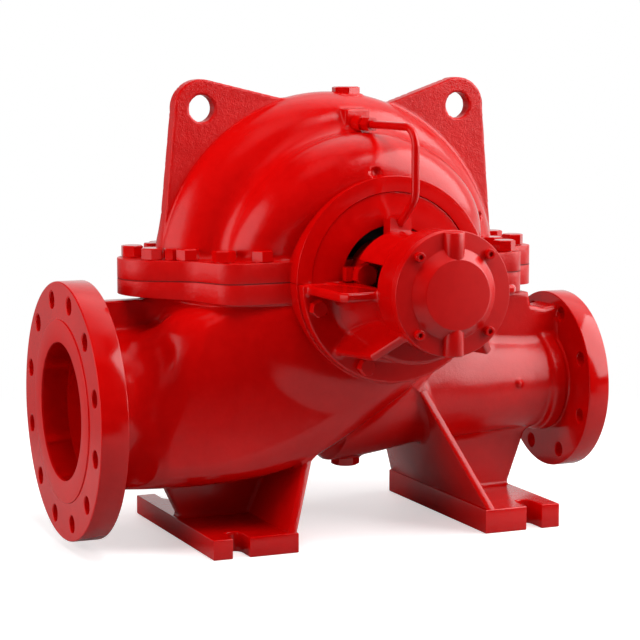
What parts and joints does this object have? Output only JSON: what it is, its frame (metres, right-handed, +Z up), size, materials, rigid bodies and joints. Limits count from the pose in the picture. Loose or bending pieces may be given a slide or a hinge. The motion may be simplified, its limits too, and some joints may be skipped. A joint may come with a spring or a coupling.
{
  "type": "split case pump",
  "caption": "Horizontal split case centrifugal pump in red enamel: flanged side suction and discharge, lifting lugs, bearing brackets at both ends, flush lines and cast feet.",
  "frame": {"origin": "floor level below the middle of the pump, where the shaft's middle plane meets the pipe centre plane", "axes": "+X towards the discharge flange, +Y along the shaft towards the coupling end, +Z up"},
  "size_m": [0.843, 0.869, 0.683],
  "materials": {
    "red_enamel": "glossy red enamel over cast iron, fine cast texture",
    "bare_steel": "turned bare steel",
    "sleeve_bronze": "turned bronze",
    "deflector_rubber": "black rubber",
    "gasket": "thin gasket, painted over at its edge"
  },
  "bodies": {
    "root": {"lower_casing": "red_enamel", "upper_casing": "red_enamel", "parting_gasket": "gasket", "front_seal_cover": "red_enamel", "rear_seal_cover": "red_enamel", "front_bracket": "red_enamel", "rear_bracket": "red_enamel", "front_bearing": "bare_steel", "rear_bearing": "bare_steel", "front_bearing_cover": "red_enamel", "rear_bearing_cover": "red_enamel", "shaft": "bare_steel", "shaft_key": "bare_steel", "front_sleeve": "sleeve_bronze", "rear_sleeve": "sleeve_bronze", "front_gland": "red_enamel", "rear_gland": "red_enamel", "front_deflector": "deflector_rubber", "rear_deflector": "deflector_rubber", "vent_plug": "red_enamel", "drain_plug": "red_enamel", "front_take_off": "red_enamel", "rear_take_off": "red_enamel", "front_flush_tube": "red_enamel", "rear_flush_tube": "red_enamel", "front_flush_elbow": "red_enamel", "rear_flush_elbow": "red_enamel"}
  },
  "joints": []
}
